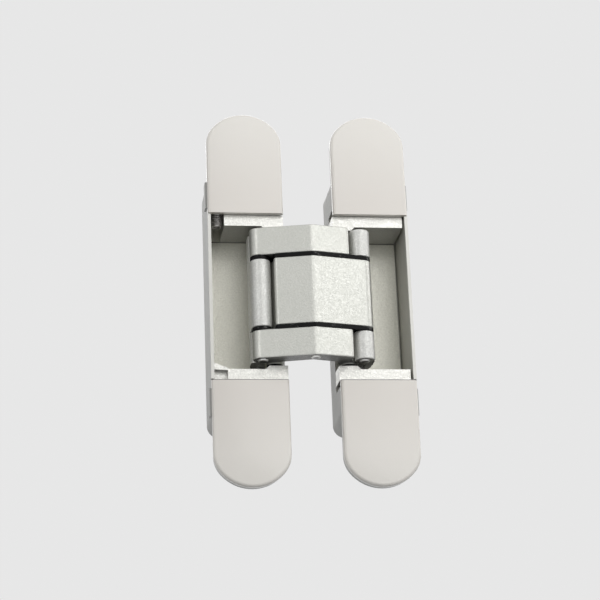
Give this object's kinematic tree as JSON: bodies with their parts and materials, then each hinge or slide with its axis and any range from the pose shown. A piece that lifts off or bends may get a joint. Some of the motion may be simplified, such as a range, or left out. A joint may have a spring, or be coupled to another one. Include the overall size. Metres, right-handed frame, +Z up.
{
  "type": "concealed door hinge",
  "caption": "Concealed door hinge: two pocketed leaves joined by folding arms and levers that swing the door from closed to flat open.",
  "frame": {"origin": "middle of the frame leaf's four fixing holes, on the back of its flange", "axes": "+X from the frame leaf to the door leaf, +Y deeper into frame and door, +Z up along the pins; both leaves flat open"},
  "size_m": [0.0814, 0.0329, 0.153],
  "materials": {
    "housing": "cast, light grey coat",
    "cover": "satin off-white, bare",
    "carrier": "sparkling satin silver",
    "arm": "sparkling satin silver",
    "lever": "sparkling satin silver",
    "pin": "ground",
    "washer": "black polymer",
    "screw": "dark zinc"
  },
  "bodies": {
    "frame_leaf": {"frame_housing": "housing", "frame_upper_cover": "cover", "frame_lower_cover": "cover", "frame_clamp_screws": "screw", "height_spindle": "screw"},
    "frame_carriage": {"frame_carrier": "carrier", "frame_arm_pin": "pin", "frame_arm_washers": "washer"},
    "inner_arm": {"inner_arm": "arm", "centre_pin": "pin", "centre_washers": "washer"},
    "fork_arm": {"fork_arm": "arm", "frame_knuckle_pin": "pin", "frame_knuckle_washers": "washer"},
    "frame_lever": {"frame_lever": "lever", "frame_lever_pin": "pin"},
    "door_lever": {"door_lever": "lever", "door_lever_pin": "pin", "door_knuckle_pin": "pin", "door_knuckle_washers": "washer"},
    "door_carriage": {"door_carrier": "carrier", "door_arm_pin": "pin", "door_arm_washers": "washer"},
    "door_leaf": {"door_housing": "housing", "door_upper_cover": "cover", "door_lower_cover": "cover", "door_clamp_screws": "screw"}
  },
  "joints": [
    {"name": "height_adjustment", "type": "slide", "parent": "frame_leaf", "child": "frame_carriage", "axis": [0, 0, 1], "range_m": [-0.002, 0.002]},
    {"name": "door_swing", "type": "hinge", "parent": "frame_carriage", "child": "inner_arm", "pos_m": [0.01052, 0.00174, 0], "axis": [0, 0, -1], "range_deg": [0, 109.17]},
    {"name": "centre_fold", "type": "hinge", "parent": "inner_arm", "child": "fork_arm", "pos_m": [0.025, -0.00948, 0], "axis": [0, 0, -1], "range_deg": [-38.4, 0]},
    {"name": "door_pivot", "type": "hinge", "parent": "fork_arm", "child": "door_carriage", "pos_m": [0.03948, 0.00174, 0], "axis": [0, 0, -1], "range_deg": [0, 109.18]},
    {"name": "frame_lever_fold", "type": "hinge", "parent": "fork_arm", "child": "frame_lever", "pos_m": [0.00511, -0.00459, 0], "axis": [0, 0, -1], "range_deg": [0, 36.5]},
    {"name": "door_lever_fold", "type": "hinge", "parent": "inner_arm", "child": "door_lever", "pos_m": [0.04489, -0.00459, 0], "axis": [0, 0, -1], "range_deg": [-36.5, 0]},
    {"name": "side_adjustment", "type": "slide", "parent": "door_carriage", "child": "door_leaf", "axis": [1, 0, 0], "range_m": [-0.0005, 0.0015]}
  ],
  "couplings": [
    {"joint": "centre_fold", "follows": "door_swing", "ratio": -0.35119},
    {"joint": "door_pivot", "follows": "door_swing", "ratio": 1},
    {"joint": "frame_lever_fold", "follows": "door_swing", "ratio": 0.33377},
    {"joint": "door_lever_fold", "follows": "door_swing", "ratio": -0.33377}
  ]
}
